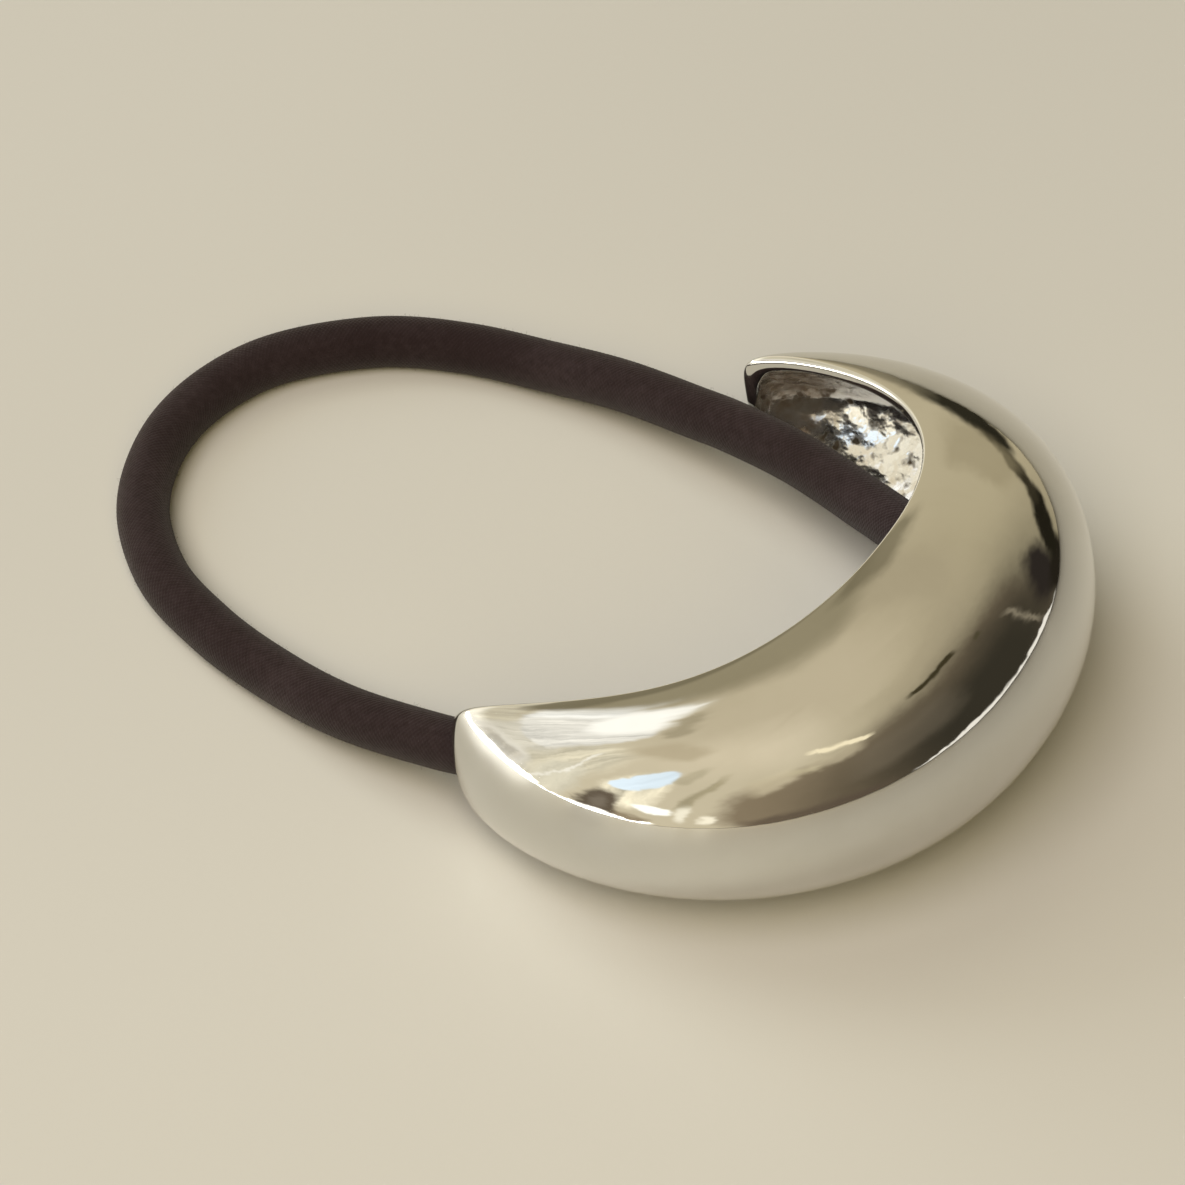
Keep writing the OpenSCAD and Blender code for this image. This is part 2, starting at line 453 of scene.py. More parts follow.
@dataclass
class ElasticLoop:
    """The endless round elastic: a rubber core in a braided cover of fine yarn, with a little fuzz.

    The real cover is a finer knit. Its yarns are as coarse as they need to be to show.
    """

    diameter: float = 4.4 * MM
    length: float = 192 * MM
    spans: int = 12
    core_radius: float = 2.13 * MM
    core_sides: int = 24
    strands: int = 28
    turns: int = 18
    cover_radius: float = 2.20 * MM
    weave_depth: float = 0.012 * MM
    yarn_half_width: float = 0.24 * MM
    yarn_crown: float = 0.035 * MM
    # Fibres to the square metre, their length and radius, where their middle and end lie as shares of the
    # length, how far they lean and turn in radians, and how their sizes vary
    fuzz_count: float = 2.2e6
    fuzz_length: float = 0.38 * MM
    fuzz_radius: float = 0.006 * MM
    fuzz_middle: tuple[float, float, float] = (0.0, 0.0, 0.6)
    fuzz_end: tuple[float, float, float] = (0.45, 0.0, 0.9)
    fuzz_lean: tuple[float, float, float] = (0.9, 0.9, 3.1)
    fuzz_sizes: tuple[float, float] = (0.5, 1.2)
    fuzz_seed: int = 7
    # The route's points as the part's source has them, in millimetres, from the middle of the hollow to the
    # tip on the -Y side, out over the table and back through the tip on the +Y side
    route: tuple[tuple[float, float, float], ...] = (
        (11.42, 0.00, 12.99), (8.51, -8.32, 12.26), (0.59, -13.78, 10.19), (-5.25, -16.68, 8.71),
        (-12.67, -19.53, 7.40), (-19.52, -21.06, 6.42), (-23.88, -21.37, 5.58), (-31.73, -21.06, 4.01),
        (-39.14, -19.58, 2.71), (-46.99, -17.48, 2.20), (-54.40, -14.11, 2.20), (-60.51, -7.58, 2.20),
        (-63.12, 1.68, 2.20), (-60.94, 10.95, 2.20), (-54.40, 18.11, 2.20), (-46.99, 21.69, 2.20),
        (-39.14, 22.95, 2.71), (-31.73, 22.95, 4.01), (-23.88, 21.79, 5.58), (-19.52, 21.06, 6.42),
        (-12.67, 19.53, 7.40), (-5.25, 16.68, 8.71), (0.59, 13.78, 10.19), (8.51, 8.32, 12.26))
    # Which of them is the tip on the -Y side, and which one the line starts from, where the hollow hides it
    near_tip: int = 5
    start: int = 3

    def line(self) -> np.ndarray:
        """Find the closed centreline, a smooth curve through the route's points.

        Returns:
            Its points in metres, starting inside the cuff near the tip on the -Y side.
        """
        points = np.roll(np.array(self.route), -self.start, axis=0) * MM
        before, after, beyond = (np.roll(points, n, axis=0) for n in (1, -1, -2))
        t = (np.arange(self.spans) / self.spans)[None, :, None]
        a, b, c, d = (p[:, None, :] for p in (before, points, after, beyond))
        curve = b + (c - a) * t / 2 + (2 * a - 5 * b + 4 * c - d) * t**2 / 2
        curve = (curve + (3 * b - a - 3 * c + d) * t**3 / 2).reshape(-1, 3)
        curve[:, 2] = np.maximum(curve[:, 2], self.diameter / 2)
        return curve

    def core_mesh(self) -> bpy.types.Mesh:
        """Sweep the round core along the closed line.

        Returns:
            The core's mesh.
        """
        line = self.line()
        along = np.roll(line, -1, axis=0) - np.roll(line, 1, axis=0)
        along /= np.linalg.norm(along, axis=1, keepdims=True)
        across = np.cross(along, (0, 0, 1))
        across /= np.linalg.norm(across, axis=1, keepdims=True)
        up = np.cross(across, along)
        turn = (np.arange(self.core_sides) * FULL_TURN / self.core_sides)[None, :, None]
        round_it = across[:, None] * np.cos(turn) + up[:, None] * np.sin(turn)
        points = (line[:, None] + self.core_radius * round_it).reshape(-1, 3)
        return closed_mesh("elastic_core", points, tube_faces(len(line), self.core_sides, closed=True))

    def guide(self) -> bpy.types.Object:
        """Lay out the centreline for the cover's tree to follow.

        Returns:
            An object whose mesh is a closed row of edges.
        """
        line = self.line()
        mesh = bpy.data.meshes.new("elastic_guide")
        mesh.from_pydata(line.tolist(), [(i, (i + 1) % len(line)) for i in range(len(line))], [])
        return new_object("elastic_guide", mesh)

    def cover_tree(self) -> bpy.types.NodeTree:
        """Build the tree that winds one lay of the braid round a guide line.

        Returns:
            A tree that copies the line once for each strand, winds each copy round the line, lifts and
            sinks it at every crossing, and gives it the section of a flat yarn.
        """
        tree, given = new_tree("braided cover", {
            "Guide": "Geometry", "Strands": "Int", "Turns": "Int", "Samples": "Int", "Lay": "Float",
            "Radius": "Float", "Weave Depth": "Float", "Half Width": "Float", "Crown": "Float",
            "Yarn": "Material"}, "Cover")
        curve = put(tree, "GeometryNodeMeshToCurve", {"Mesh": given["Guide"]})
        even = put(tree, "GeometryNodeResampleCurve", {"Curve": curve.outputs[0], "Count": given["Samples"]})
        level = put(tree, "GeometryNodeSetCurveNormal", {"Curve": even.outputs[0]}, mode="Z_UP")
        copies = put(tree, "GeometryNodeDuplicateElements",
                     {"Geometry": level.outputs[0], "Amount": given["Strands"]}, domain="SPLINE")
        # Each strand's angle round the line: so many turns along it, from a start that is its own
        share = put(tree, "GeometryNodeSplineParameter").outputs["Factor"]
        full = put(tree, MATH, {0: given["Turns"], 1: FULL_TURN}, operation="MULTIPLY")
        wound = put(tree, MATH, {0: share, 1: full.outputs[0]}, operation="MULTIPLY")
        slot = put(tree, MATH, {0: copies.outputs["Duplicate Index"], 1: given["Strands"]},
                   operation="DIVIDE")
        first = put(tree, MATH, {0: slot.outputs[0], 1: FULL_TURN}, operation="MULTIPLY")
        angle = put(tree, MATH, {0: wound.outputs[0], 1: given["Lay"], 2: first.outputs[0]},
                    operation="MULTIPLY_ADD")
        # Its distance from the line: over and under at every crossing, the two lays opposite to each other
        beat = put(tree, MATH, {0: wound.outputs[0], 1: given["Strands"]}, operation="MULTIPLY")
        lift = put(tree, MATH, {0: beat.outputs[0]}, operation="COSINE")
        height = put(tree, MATH, {0: lift.outputs[0], 1: given["Weave Depth"]}, operation="MULTIPLY")
        reach = put(tree, MATH, {0: height.outputs[0], 1: given["Lay"], 2: given["Radius"]},
                    operation="MULTIPLY_ADD")
        normal = put(tree, "GeometryNodeInputNormal").outputs[0]
        tangent = put(tree, "GeometryNodeInputTangent").outputs[0]
        side = put(tree, VECTOR, {0: tangent, 1: normal}, operation="CROSS_PRODUCT")
        cosine = put(tree, MATH, {0: angle.outputs[0]}, operation="COSINE")
        sine = put(tree, MATH, {0: angle.outputs[0]}, operation="SINE")
        part_a = put(tree, VECTOR, {0: normal, 3: cosine.outputs[0]}, operation="SCALE")
        part_b = put(tree, VECTOR, {0: side.outputs[0], 3: sine.outputs[0]}, operation="SCALE")
        outward = put(tree, VECTOR, {0: part_a.outputs[0], 1: part_b.outputs[0]}, operation="ADD")
        # The outward direction is kept while the strand moves, so that the flat yarn then lies on the cover
        kept = put(tree, "GeometryNodeStoreNamedAttribute",
                   {"Geometry": copies.outputs[0], "Name": "outward", "Value": outward.outputs[0]},
                   data_type="FLOAT_VECTOR", domain="POINT")
        move = put(tree, VECTOR, {0: outward.outputs[0], 3: reach.outputs[0]}, operation="SCALE")
        moved = put(tree, "GeometryNodeSetPosition", {"Geometry": kept.outputs[0], "Offset": move.outputs[0]})
        read = put(tree, "GeometryNodeInputNamedAttribute", {"Name": "outward"}, data_type="FLOAT_VECTOR")
        turned = put(tree, "GeometryNodeSetCurveNormal",
                     {"Curve": moved.outputs[0], "Normal": read.outputs[0]}, mode="FREE")
        section = put(tree, "GeometryNodeCurvePrimitiveCircle", {"Resolution": 3, "Radius": 1.0})
        shape = put(tree, "ShaderNodeCombineXYZ", {"X": given["Crown"], "Y": given["Half Width"], "Z": 1.0})
        flat = put(tree, "GeometryNodeTransform", {"Geometry": section.outputs[0], "Scale": shape.outputs[0]})
        yarn = put(tree, "GeometryNodeCurveToMesh", {"Curve": turned.outputs[0],
                                                     "Profile Curve": flat.outputs[0]})
        facets = put(tree, "GeometryNodeSetShadeSmooth", {"Geometry": yarn.outputs[0], "Shade Smooth": False})
        real = put(tree, "GeometryNodeRealizeInstances", {"Geometry": facets.outputs[0]})
        clean = put(tree, "GeometryNodeRemoveAttribute", {"Geometry": real.outputs[0], "Name": "outward"})
        painted = put(tree, "GeometryNodeSetMaterial",
                      {"Geometry": clean.outputs[0], "Material": given["Yarn"]})
        put(tree, "NodeGroupOutput", {"Cover": painted.outputs[0]})
        return tree

    def fuzz_tree(self) -> bpy.types.NodeTree:
        """Build the tree that stands short loose fibres on the core's surface.

        Returns:
            A tree that scatters points on a surface and stands a thin curved fibre on each, leaning at
            random.
        """
        tree, given = new_tree("loose fibres", {
            "Surface": "Geometry", "Density": "Float", "Length": "Float", "Thickness": "Float", "Seed": "Int",
            "Yarn": "Material"}, "Fuzz")
        points = put(tree, "GeometryNodeDistributePointsOnFaces",
                     {"Mesh": given["Surface"], "Density": given["Density"], "Seed": given["Seed"]})
        scale = put(tree, "ShaderNodeCombineXYZ", {axis: given["Length"] for axis in "XYZ"})
        bend = put(tree, VECTOR, {0: scale.outputs[0], 1: self.fuzz_middle}, operation="MULTIPLY")
        over = put(tree, VECTOR, {0: scale.outputs[0], 1: self.fuzz_end}, operation="MULTIPLY")
        fibre = put(tree, "GeometryNodeCurveQuadraticBezier",
                    {"Resolution": 3, "Start": (0.0, 0.0, 0.0), "Middle": bend.outputs[0],
                     "End": over.outputs[0]})
        ring = put(tree, "GeometryNodeCurvePrimitiveCircle", {"Resolution": 3, "Radius": given["Thickness"]})
        hair = put(tree, "GeometryNodeCurveToMesh",
                   {"Curve": fibre.outputs[0], "Profile Curve": ring.outputs[0], "Fill Caps": True})
        lean = put(tree, "FunctionNodeRandomValue",
                   {"Min": [-angle for angle in self.fuzz_lean], "Max": self.fuzz_lean,
                    "Seed": given["Seed"]}, data_type="FLOAT_VECTOR")
        turned = put(tree, "FunctionNodeRotateRotation",
                     {"Rotation": points.outputs["Rotation"], "Rotate By": lean.outputs["Value"]},
                     rotation_space="LOCAL")
        size = put(tree, "FunctionNodeRandomValue",
                   {2: self.fuzz_sizes[0], 3: self.fuzz_sizes[1], "Seed": given["Seed"]}, data_type="FLOAT")
        stood = put(tree, "GeometryNodeInstanceOnPoints",
                    {"Points": points.outputs["Points"], "Instance": hair.outputs[0],
                     "Rotation": turned.outputs[0], "Scale": size.outputs[1]})
        real = put(tree, "GeometryNodeRealizeInstances", {"Geometry": stood.outputs[0]})
        painted = put(tree, "GeometryNodeSetMaterial",
                      {"Geometry": real.outputs[0], "Material": given["Yarn"]})
        put(tree, "NodeGroupOutput", {"Fuzz": painted.outputs[0]})
        return tree

    def build(self) -> list[bpy.types.Object]:
        """Returns:
            Its pieces: the core, the two lays of the cover and the fuzz.
        """
        yarn = CoverYarn().make()
        core = new_object("elastic_core", self.core_mesh(), [yarn])
        guide = self.guide()
        tree = self.cover_tree()
        braid = {"Strands": self.strands, "Turns": self.turns, "Samples": 2 * self.strands * self.turns,
                 "Radius": self.cover_radius, "Weave Depth": self.weave_depth,
                 "Half Width": self.yarn_half_width, "Crown": self.yarn_crown, "Yarn": yarn}
        covers = [dressed(guide, tree, {**braid, "Lay": lay}, f"elastic_cover_{side}_lay")
                  for side, lay in (("right", 1.0), ("left", -1.0))]
        bpy.data.objects.remove(guide)
        fuzz = dressed(core, self.fuzz_tree(), {
            "Density": self.fuzz_count, "Length": self.fuzz_length, "Thickness": self.fuzz_radius,
            "Seed": self.fuzz_seed, "Yarn": yarn}, "elastic_fuzz")
        pieces = [core, *covers, fuzz]
        for piece in pieces:
            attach(piece, "root")
        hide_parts("elastic_loop")
        line = self.line().tolist()
        return pieces


# The cuff


class Region(Enum):
    """The shell's surfaces, numbered as its materials are."""

    POLISHED = 0
    CAST = 1


@dataclass
class CuffShell:
    """The cast dome: its polished outside, the lip of its rim, the rough hollow and the keeper bar across it.

    The sizes down to the keeper bar's thickness are those of the part's source, by the same names. A share is
    that of the way from the middle of the rim to a tip, negative toward -Y, which is the near arm's.
    """

    rim_reach: float = 25.3 * MM
    rim_half_w: float = 22.9 * MM
    tip_angle: float = math.radians(94.3)
    plan_power: float = 2.15
    mid_half_h: float = 12.4 * MM
    tip_half_h: float = 6.7 * MM
    mid_depth: float = 13.3 * MM
    tip_depth: float = 3.3 * MM
    height_power: float = 1.75
    depth_power: float = 0.75
    wall: float = 1.25 * MM
    tip_side_power: float = 6.4
    tip_top_power: float = 3.9
    cuff_tilt: float = math.radians(10)
    arch: tuple[float, float] = (2.2, 1.8)
    keeper_d: float = 2.0 * MM
    # How far inside the hollow the bar's middle stands, in bar thicknesses, and how far short of the
    # outside it ends, in wall thicknesses
    keeper_in: float = 0.55
    keeper_sink: float = 0.6
    keeper_rings: int = 41
    keeper_sides: int = 32
    # Solder that flares the bar's ends toward the dome: how wide it is close under the wall, over what
    # length it grows, and its most
    flare: float = 0.3 * MM
    flare_run: float = 0.35 * MM
    flare_most: float = 0.8 * MM
    # Gap round the elastic in the end walls, and how softly the wall turns into it
    saddle_gap: float = 0.2 * MM
    saddle_blend: float = 0.15 * MM
    # Radius of the rim's edges at the middle and at the tips, and how late the near arm's grows
    outer_edge: tuple[float, float] = (0.22 * MM, 0.75 * MM)
    inner_edge: tuple[float, float] = (0.45 * MM, 0.45 * MM)
    near_edge_power: float = 4.0
    # The near arm's upper half stands a little higher than the solid's: by how much, at which share, and over
    # what width
    near_lift: float = 1.0 * MM
    near_lift_at: float = -0.78
    near_lift_width: float = 0.245
    # The hollow's section, which is more pointed along the arms than the dome's: the two powers of its arch
    # and the bluntness of its crest, each by how far the dome has fallen off there
    hollow_at: tuple[float, ...] = (0.2, 0.5, 0.7, 1.0)
    hollow_arch: tuple[tuple[float, ...], ...] = ((1.30, 1.48, 1.48, 2.2), (1.12, 1.20, 1.20, 1.8))
    hollow_blunt: tuple[float, ...] = (0.09, 0.15, 0.15, 0.0)
    # The mesh: rings from tip to tip, then rows over a rounded edge, half the outside, half the hollow and
    # the lip
    rings: int = 380
    edge_rows: int = 10
    outer_rows: int = 46
    inner_rows: int = 34
    lip_rows: int = 3
    # How many points measure the way to a tip to spread the rings, and how strongly they crowd at the tip
    measures: int = 6001
    measure_power: int = 9
    # The hollow's casting lumps
    lump_size: float = 1.9 * MM
    lump_height: float = 0.10 * MM
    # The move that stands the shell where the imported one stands, which place() finds
    shift: Vector = field(default_factory=lambda: Vector((0, 0, 0)))

    def half_rim(self) -> float:
        """Length of half the rim, taken as a round one."""
        return self.tip_angle * (self.rim_reach + self.rim_half_w) / 2

    def in_share(self) -> float:
        """Share of the way to a tip at which the hollow ends."""
        return 1 - self.wall / self.half_rim()

    def rim(self, share: np.ndarray) -> tuple[np.ndarray, np.ndarray]:
        """Find the rim's plan.

        Args:
            share: share of the way to a tip.

        Returns:
            The points of the rim in plan and the outward normals there.
        """
        c, s, power = np.cos(share * self.tip_angle), np.sin(share * self.tip_angle), self.plan_power
        k = (np.abs(c) ** power + np.abs(s) ** power) ** (-1 / power)
        at = np.stack([self.rim_reach * c * k, self.rim_half_w * s * k], -1)
        out = np.stack([signed_power(at[..., 0] / self.rim_reach, power - 1) / self.rim_reach,
                        signed_power(at[..., 1] / self.rim_half_w, power - 1) / self.rim_half_w], -1)
        return at, out / np.linalg.norm(out, axis=-1, keepdims=True)

    def tipped(self, points: np.ndarray) -> np.ndarray:
        """Take points from the shell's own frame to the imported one.

        Args:
            points: points as they are with the rim upright and its middle over the origin.

        Returns:
            The points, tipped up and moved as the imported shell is.
        """
        c, s = math.cos(self.cuff_tilt), math.sin(self.cuff_tilt)
        x, y, z = (points[..., axis] for axis in range(3))
        return np.stack([x * c - z * s, y, x * s + z * c], -1) + np.array(self.shift)

    def placed(self, share: np.ndarray, bulge: np.ndarray, height: np.ndarray) -> np.ndarray:
        """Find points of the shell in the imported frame.

        Args:
            share: share of the way to a tip.
            bulge: distance out from the rim.
            height: height over the shell's own middle.

        Returns:
            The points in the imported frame.
        """
        at, out = self.rim(share)
        return self.tipped(np.concatenate([at + out * bulge[..., None], height[..., None]], -1))

    @staticmethod
    def fall(share: np.ndarray) -> np.ndarray:
        """How the dome falls off from its middle, 1, to its tips, 0."""
        return np.cos(np.minimum(np.abs(share), 1) * math.pi / 2)

    def half_h(self, share: np.ndarray) -> np.ndarray:
        """Half the shell's height before its tips are rounded."""
        return self.tip_half_h + (self.mid_half_h - self.tip_half_h) * self.fall(share) ** self.height_power

    def depth(self, share: np.ndarray) -> np.ndarray:
        """The shell's bulge before its tips are rounded."""
        return self.tip_depth + (self.mid_depth - self.tip_depth) * self.fall(share) ** self.depth_power

    def lift(self, share: np.ndarray) -> np.ndarray:
        """How much higher the upper rim stands on the near arm than on the far one."""
        return self.near_lift * np.exp(-((share - self.near_lift_at) / self.near_lift_width) ** 2)

    @staticmethod
    def cap(left: np.ndarray, power: float) -> np.ndarray:
        """The rounding that closes a tip, from the share of the way that is left to it."""
        return (-np.expm1(power * np.log1p(-np.minimum(left, 1 - TINY)))) ** (1 / power)

    def ring_shares(self) -> np.ndarray:
        """Spread half the rings evenly over the surface.

        Returns:
            The share of the way that is left to the tip at each of them, from the tip to the middle.
        """
        fine = np.linspace(0, 1, self.measures) ** self.measure_power
        share = 1 - fine
        steps = [np.hypot(np.diff(share * self.half_rim()), np.diff(size(share) * self.cap(fine, power)))
                 for size, power in ((self.half_h, self.tip_side_power), (self.depth, self.tip_top_power))]
        length = np.concatenate([[0], np.cumsum(steps[0] + steps[1])])
        return np.interp(np.linspace(0, length[-1], self.rings // 2 + 1), length, fine)

    def row_heights(self, edge: np.ndarray, deep: np.ndarray, arch: Sequence[Any], rows: int) -> np.ndarray:
        """Spread the rows over each ring's arch, closer together over the rounded edge.

        Args:
            edge: radius of each ring's rounded edge, in a column.
            deep: each ring's bulge, in a column.
            arch: the two powers of the arch.
            rows: rows over half an arch, above those of its edge.

        Returns:
            Heights by ring and row, as shares of the ring's half height, from 1 at the upper rim down to -1.
        """
        sweep = np.linspace(0, math.pi / 2, self.edge_rows + 1)
        at_edge = np.minimum(edge, deep / 2) * (1 - np.cos(sweep))
        across = np.clip(1 - (at_edge / np.maximum(deep, TINY)) ** arch[1], 0, 1) ** (1 / arch[0])
        last = np.arccos(across[:, -1:])
        turn = last + (math.pi / 2 - last) * np.linspace(0, 1, rows + 1)[1:]
        upper = np.concatenate([across, np.cos(turn)], axis=1)
        upper[:, -1] = 0
        return np.concatenate([upper, -upper[:, -2::-1]], axis=1)

    def outline_normal(self, share: np.ndarray, height: np.ndarray, thin: float,
                       reach: float) -> tuple[np.ndarray, np.ndarray]:
        """Find the outward direction of the rim's outline, seen square to the rim.

        Args:
            share: share of the way to a tip, in a column.
            height: height of each ring's rows.
            thin: how far inside the outline the surface lies.
            reach: share of the way to a tip at which the surface ends.

        Returns:
            Its parts along the share and along the height, for each point of the surface.
        """
        step = 1e-4
        upper = height > 0
        half, after, before = (self.half_h(at) - thin + upper * self.lift(at)
                               for at in (share, share + step, share - step))
        slope = (after - before) / (2 * step)
        run = np.linalg.norm(self.rim(share + step)[0] - self.rim(share - step)[0], axis=-1) / (2 * step)
        power = self.tip_side_power
        tall = np.abs(height / half) ** (power - 1)
        tipward = (np.abs(share / reach) ** (power - 1) * np.sign(share) / reach
                   - tall * np.abs(height) * slope / half**2) / run
        upward = tall * np.sign(height) / half
        size = np.maximum(np.hypot(tipward, upward), SMALL)
        return tipward / size / run, upward / size

    def surface(self, hollow: bool, rows: int, edges: tuple[float, float]) -> np.ndarray:
        """Find one side of the wall, with its rounded edge at the rim.

        Args:
            hollow: True for the inside of the wall.
            rows: rows over half an arch, above those of its edge.
            edges: radius of the rounded edge at the middle of the rim and at its tips.

        Returns:
            Points by ring and row, from the upper rim to the lower one.
        """
        left = self.ring_shares()
        side = np.concatenate([-np.ones(len(left)), np.ones(len(left) - 1)])[:, None]
        left = np.concatenate([left, left[-2::-1]])[:, None]
        reach, thin = (self.in_share(), self.wall) if hollow else (1.0, 0.0)
        share = side * (1 - left) * reach
        fall = self.fall(share)
        arch = [np.interp(fall, self.hollow_at, power) for power in self.hollow_arch] if hollow else self.arch
        blunt = np.interp(fall, self.hollow_at, self.hollow_blunt) if hollow else 0.0
        edge = edges[0] + (edges[1] - edges[0]) * (1 - fall) ** np.where(share < 0, self.near_edge_power, 1.0)
        deep = (self.depth(share) - thin) * self.cap(left, self.tip_top_power)
        v = self.row_heights(edge, deep, arch, rows)
        blunted = (np.sqrt(v * v + blunt**2) - blunt) / (np.sqrt(1 + blunt**2) - blunt)
        bulge = deep * np.clip(1 - blunted ** arch[0], 0, None) ** (1 / arch[1])
        high = self.half_h(share) - thin + (v > 0) * self.lift(share)
        height = high * self.cap(left, self.tip_side_power) * v
        # The edge is rounded by moving the points next to the rim along the outline's normal: inward on the
        # outside of the wall and outward in the hollow.
        near = np.clip(edge - bulge, 0, edge)
        move = (1.0 if hollow else -1.0) * (edge - np.sqrt(edge**2 - near**2))
        tipward, upward = self.outline_normal(share, height, thin, reach)
        return self.placed(share + move * tipward, bulge, height + move * upward)

    def shell_points(self) -> tuple[np.ndarray, int]:
        """Find all points of the closed wall, ring by ring round its section.

        Returns:
            The points by ring and row, and the number of rows that are polished: outside and lower lip.
        """
        outer = self.surface(False, self.outer_rows, self.outer_edge)
        inner = self.surface(True, self.inner_rows, self.inner_edge)[:, ::-1]
        t = (np.arange(1, self.lip_rows + 1) / (self.lip_rows + 1))[None, :, None]
        lower = outer[:, -1:] * (1 - t) + inner[:, :1] * t
        upper = inner[:, -1:] * (1 - t) + outer[:, :1] * t
        return np.concatenate([outer, lower, inner, upper], axis=1), outer.shape[1] + self.lip_rows

    def clear_of_elastic(self, points: np.ndarray, elastic: ElasticLoop) -> np.ndarray:
        """Push the wall's points off the elastic, which leaves a round saddle in each end wall.

        Args:
            points: the wall's points, one a row.
            elastic: the elastic that passes through.

        Returns:
            The points, none nearer to the elastic's line than its radius and the gap.
        """
        line = elastic.line()
        clear = elastic.diameter / 2 + self.saddle_gap
        batch = 20000
        moved = points.copy()
        for at in range(0, len(points), batch):
            part = points[at:at + batch]
            away = part[:, None] - line[None]
            near = np.argmin((away**2).sum(-1), axis=1)
            before, after = line[near - 1], line[(near + 1) % len(line)]
            along = (after - before) / np.linalg.norm(after - before, axis=1, keepdims=True)
            off = part - line[near]
            off = off - along * (off * along).sum(1, keepdims=True)
            far = np.linalg.norm(off, axis=1, keepdims=True)
            push = smooth_max(far, clear, self.saddle_blend) - far
            moved[at:at + batch] = part + off / np.maximum(far, SMALL) * push
        return moved

    def wall_mesh(self, elastic: ElasticLoop) -> bpy.types.Mesh:
        """Build the wall as one closed mesh.

        Args:
            elastic: the elastic that its saddles are cut for.

        Returns:
            The mesh, with the hollow's faces numbered for the cast finish.
        """
        grid, polished = self.shell_points()
        rings, rows = grid.shape[:2]
        points = self.clear_of_elastic(grid.reshape(-1, 3), elastic)
        index = np.arange(rings * rows).reshape(rings, rows)
        # Each tip's own ring is a line across the lip: one point for the outside, one for the hollow, and a
        # lip whose upper and lower rows are the same.
        outer_last, inner_first = polished - self.lip_rows - 1, polished
        inner_last = rows - self.lip_rows - 1
        for tip in (0, rings - 1):
            index[tip, :outer_last + 1] = index[tip, 0]
            index[tip, inner_first:inner_last + 1] = index[tip, inner_first]
            index[tip, inner_last + 1:] = index[tip, outer_last + 1:inner_first][::-1]
        around = np.roll(index, -1, axis=1)
        faces = np.stack([index[:-1], around[:-1], around[1:], index[1:]], -1)
        row = np.arange(rows)
        cast_rows = (row >= polished + self.edge_rows) & (row < inner_last - self.edge_rows)
        cast = np.tile(cast_rows, rings - 1)
        used, back = np.unique(faces.ravel(), return_inverse=True)
        mesh = closed_mesh("cuff_wall", points[used], back.reshape(-1, 4).tolist())
        mesh.polygons.foreach_set("material_index", np.where(cast, Region.CAST.value, Region.POLISHED.value))
        return mesh

    def roughen(self, mesh: bpy.types.Mesh) -> None:
        """Raise the casting's lumps in the hollow, and leave its border with the polished rim as it is.

        Args:
            mesh: the wall's mesh.
        """
        cast = np.zeros(len(mesh.vertices), dtype=bool)
        polished = np.zeros(len(mesh.vertices), dtype=bool)
        for face in mesh.polygons:
            (cast if face.material_index == Region.CAST.value else polished)[list(face.vertices)] = True
        normals = np.empty(len(mesh.vertices) * 3)
        mesh.vertex_normals.foreach_get("vector", normals)
        normals = normals.reshape(-1, 3)
        for index in np.nonzero(cast & ~polished)[0]:
            vertex = mesh.vertices[int(index)]
            lump = noise.fractal(vertex.co / self.lump_size, 0.9, 2.1, 2)
            vertex.co += Vector(normals[index]) * float(lump * self.lump_height)

    def keeper_mesh(self) -> bpy.types.Mesh:
        """Turn the plain keeper bar, flared where it meets the wall.

        Returns:
            The bar's mesh, closed at both ends.
        """
        sink, rings, sides = self.keeper_sink * self.wall, self.keeper_rings, self.keeper_sides
        half = self.mid_half_h - sink
        height = half * np.sin(np.linspace(-1, 1, rings) * math.pi / 2)[:, None]
        growth = np.exp((np.abs(height) - half + sink) / self.flare_run)
        grown = np.minimum(self.flare * growth, self.flare_most)
        turn = np.arange(sides) * FULL_TURN / sides
        radius = self.keeper_d / 2 + grown * (1 + np.cos(turn)) / 2
        x = self.rim_reach + self.keeper_in * self.keeper_d + radius * np.cos(turn)
        bar = np.stack([x, radius * np.sin(turn), np.broadcast_to(height, x.shape)], -1)
        ends = [tuple(range(sides))[::-1], tuple(range((rings - 1) * sides, rings * sides))]
        return closed_mesh("keeper", self.tipped(bar).reshape(-1, 3), tube_faces(rings, sides) + ends)

    def place(self) -> None:
        """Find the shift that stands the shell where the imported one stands."""
        self.shift = Vector((0, 0, 0))
        outer = self.surface(False, self.outer_rows, self.outer_edge)
        low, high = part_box("cuff_shell")
        self.shift = Vector(((low[0] + high[0]) / 2 - (outer[..., 0].max() + outer[..., 0].min()) / 2, 0,
                             low[2] - outer[..., 2].min()))

    def build(self, elastic: ElasticLoop) -> bpy.types.Object:
        """Build the shell.

        Args:
            elastic: the elastic that passes through it.

        Returns:
            The finished piece.
        """
        self.place()
        wall = self.wall_mesh(elastic)
        self.roughen(wall)
        joined = bmesh.new()
        joined.from_mesh(wall)
        joined.from_mesh(self.keeper_mesh())
        mesh = bpy.data.meshes.new("cuff_dome")
        joined.to_mesh(mesh)
        joined.free()
        dome = new_object("cuff_dome", mesh, [MirrorPlate().make(), RawCasting().make()])
        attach(dome, "root")
        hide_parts("cuff_shell")
        return dome


# Table, light and camera


